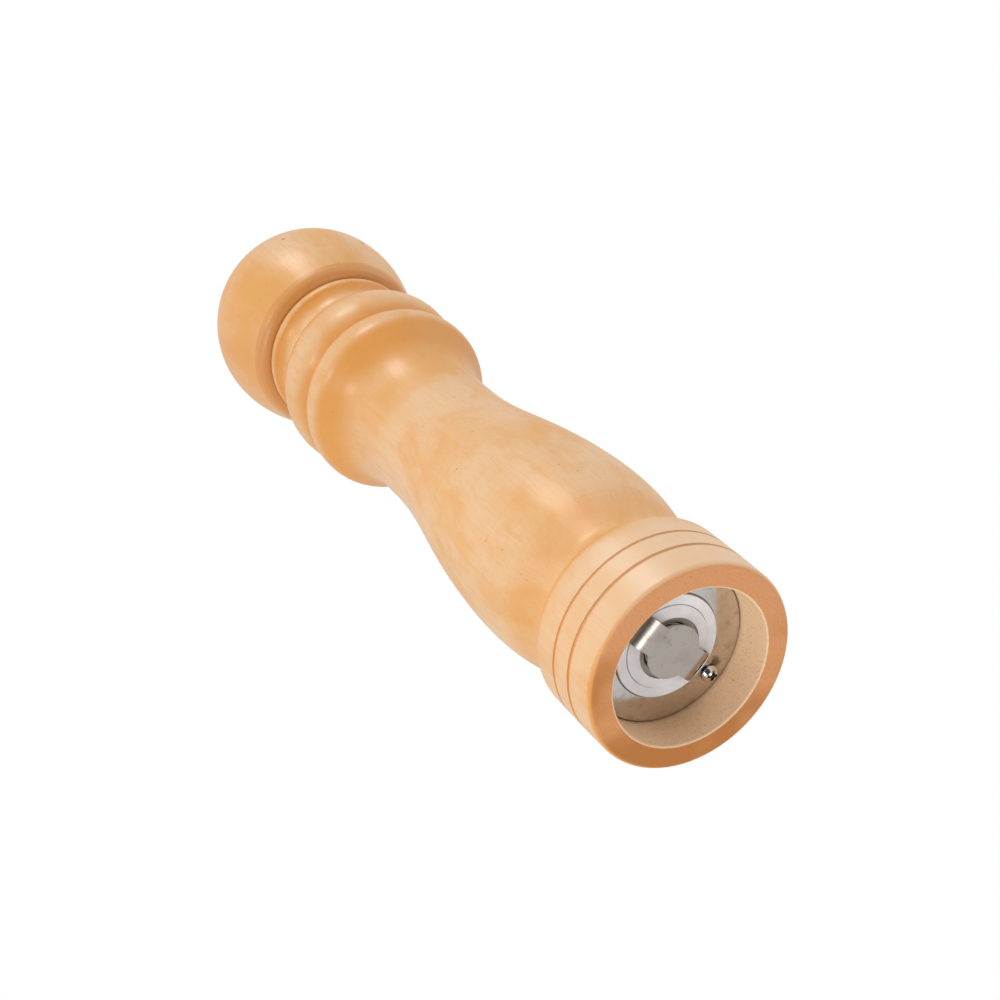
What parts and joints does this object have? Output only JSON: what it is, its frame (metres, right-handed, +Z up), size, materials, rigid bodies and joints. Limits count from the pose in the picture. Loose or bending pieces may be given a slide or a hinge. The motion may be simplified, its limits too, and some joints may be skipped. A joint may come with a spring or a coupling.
{
  "type": "pepper mill",
  "caption": "Upright turned wooden pepper mill: the head turns a ceramic burr in the base, a top nut sets the grind, and the head lifts off to fill the body.",
  "frame": {"origin": "centre of the flat rim that the mill stands on", "axes": "+Z up along the mill's axis from the base to the top nut, +X towards one of the two screws of the cover plate"},
  "size_m": [0.0584, 0.0584, 0.2543],
  "materials": {
    "wood": "satin lacquer",
    "head_wood": "satin lacquer",
    "plate_steel": "satin, lightly brushed",
    "bar_steel": "satin",
    "screw_chrome": "polished",
    "holder_plastic": "smooth white",
    "burr_ceramic": "fine matt white",
    "core_plastic": "matt dark brown-grey",
    "spring_steel": "drawn wire",
    "shaft_aluminium": "mill finish",
    "nut_steel": "polished",
    "insert_brass": "machined"
  },
  "bodies": {
    "base": {"mill_body": "wood", "cover_plate": "plate_steel", "plate_screws": "screw_chrome", "burr_holder": "holder_plastic", "stator_burr": "burr_ceramic", "retaining_bar": "bar_steel", "shaft_guide": "holder_plastic"},
    "seat": {"thrust_washer": "spring_steel", "spring": "spring_steel"},
    "drive": {"drive_shaft": "shaft_aluminium", "rotor_core": "core_plastic", "rotor_burr": "burr_ceramic", "shaft_clips": "spring_steel"},
    "head": {"head_knob": "head_wood", "drive_plate": "plate_steel", "drive_plate_screws": "screw_chrome", "nut_washer": "nut_steel"},
    "nut": {"top_nut": "nut_steel", "nut_insert": "insert_brass"}
  },
  "joints": [
    {"name": "head_turn", "type": "hinge", "parent": "base", "child": "seat", "pos_m": [0, 0, 0], "axis": [0, 0, 1], "continuous": true},
    {"name": "grind_adjust", "type": "slide", "parent": "seat", "child": "drive", "axis": [0, 0, 1], "range_m": [0, 0.0012], "deforming": ["spring"]},
    {"name": "head_lift", "type": "slide", "parent": "seat", "child": "head", "axis": [0, 0, 1], "range_m": [0, 0.075]},
    {"name": "nut_turn", "type": "hinge", "parent": "head", "child": "nut", "pos_m": [0, 0, 0.2466], "axis": [0, 0, -1], "range_deg": [0, 540]}
  ],
  "couplings": [
    {"joint": "nut_turn", "follows": "grind_adjust", "rad_per_m": 7854}
  ]
}
